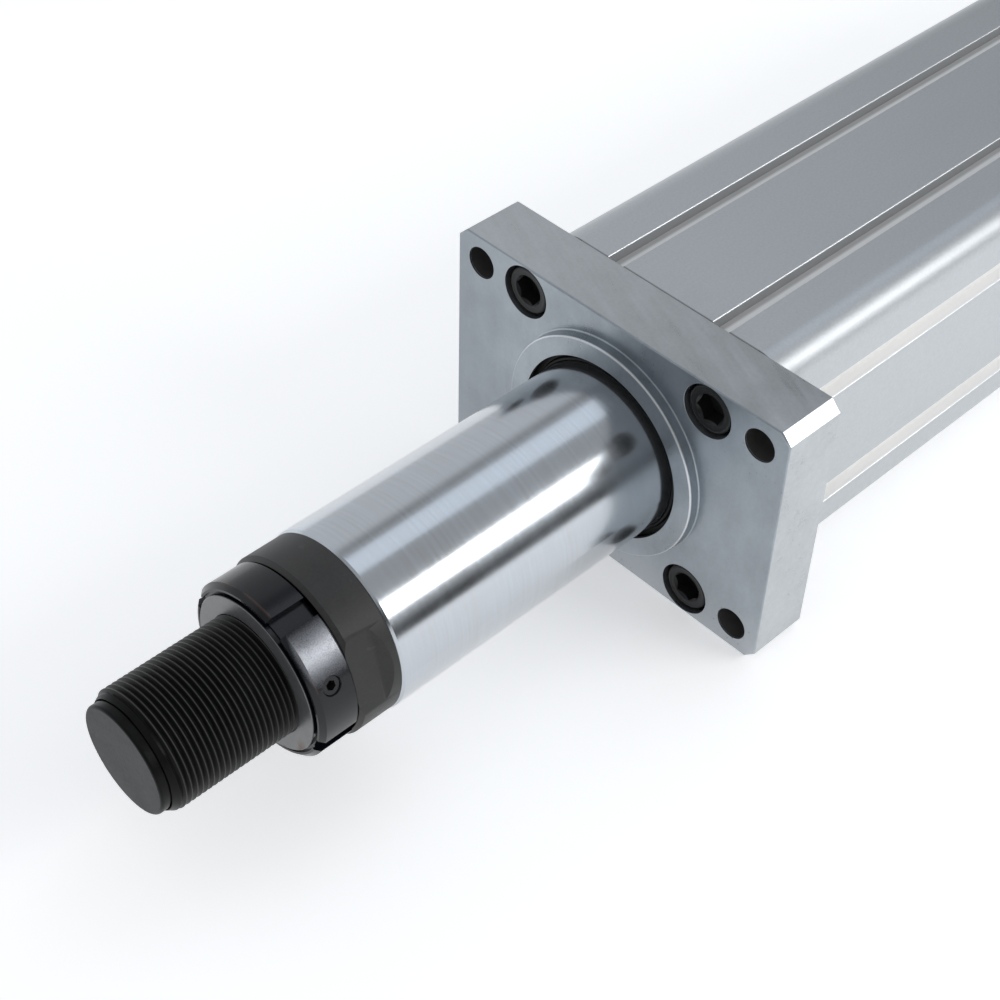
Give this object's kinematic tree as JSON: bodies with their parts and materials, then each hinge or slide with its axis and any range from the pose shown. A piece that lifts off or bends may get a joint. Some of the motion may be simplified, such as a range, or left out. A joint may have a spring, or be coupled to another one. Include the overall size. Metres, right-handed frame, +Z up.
{
  "type": "electric cylinder",
  "caption": "Rod-type electric cylinder: ball screw drive in a grooved extruded tube, front flange, chromed rod with threaded end and locknut.",
  "frame": {"origin": "centre of the flange plate's front face, on the rod's axis", "axes": "+X along the rod as it extends, +Y across the flange's long side, +Z up"},
  "size_m": [0.7152, 0.15, 0.1046],
  "materials": {
    "zinc_plate": "machined, zinc-plated",
    "anodised": "satin anodised",
    "hard_chrome": "ground and hard-chromed",
    "black_steel": "black oxide",
    "blued_steel": "phosphated, worn edges",
    "bearing_steel": "ground",
    "ground_steel": "ground",
    "spring_steel": "phosphated",
    "cast_aluminium": "machined, bead-blasted",
    "machined_aluminium": "turned",
    "bronze": "turned",
    "wiper_blue": "satin polyurethane",
    "seal_rubber": "satin",
    "bumper_rubber": "matte",
    "spider_red": "satin polyurethane",
    "wear_strip": "matte",
    "magnet": "matte, plastic-bonded"
  },
  "bodies": {
    "housing": {"front_flange": "zinc_plate", "flange_screws": "black_steel", "profile_tube": "anodised", "rod_wiper": "wiper_blue", "rod_seal": "seal_rubber", "guide_bush": "bronze", "bush_circlip": "spring_steel", "front_o_ring": "seal_rubber", "front_bumper": "bumper_rubber", "rear_bumper": "bumper_rubber", "rear_o_ring": "seal_rubber", "bearing_housing": "cast_aluminium", "housing_screws": "black_steel", "bearing_outer_rings": "bearing_steel", "bearing_retainer": "black_steel", "motor_adapter": "cast_aluminium", "adapter_screws": "black_steel", "access_plug": "bumper_rubber"},
    "rod": {"rod_tube": "hard_chrome", "rod_end": "black_steel", "locknut": "blued_steel", "locknut_set_screws": "black_steel", "nut_carriage": "machined_aluminium", "guide_rings": "wear_strip", "magnet_ring": "magnet", "anti_rotation_keys": "wear_strip", "ball_nut": "bearing_steel", "ball_nut_screws": "black_steel"},
    "screw": {"screw_shaft": "ground_steel", "screw_support_bush": "wear_strip", "support_circlip": "spring_steel", "bearing_inner_rings": "bearing_steel", "bearing_locknut": "black_steel", "drive_hub": "machined_aluminium", "motor_hub": "machined_aluminium", "coupling_spider": "spider_red", "hub_set_screws": "black_steel"},
    "bearing_cages": {"bearing_ball_cages": "bearing_steel"}
  },
  "joints": [
    {"name": "rod_travel", "type": "slide", "parent": "housing", "child": "rod", "axis": [1, 0, 0], "range_m": [-0.11, 0.09]},
    {"name": "screw_spin", "type": "hinge", "parent": "housing", "child": "screw", "pos_m": [-0.4, 0, 0], "axis": [1, 0, 0], "range_deg": [-1625, 1985]},
    {"name": "cage_spin", "type": "hinge", "parent": "housing", "child": "bearing_cages", "pos_m": [-0.407, 0, 0], "axis": [1, 0, 0], "range_deg": [-630, 770]}
  ],
  "couplings": [
    {"joint": "screw_spin", "follows": "rod_travel", "rad_per_m": -314.16},
    {"joint": "cage_spin", "follows": "rod_travel", "rad_per_m": -120.97}
  ]
}
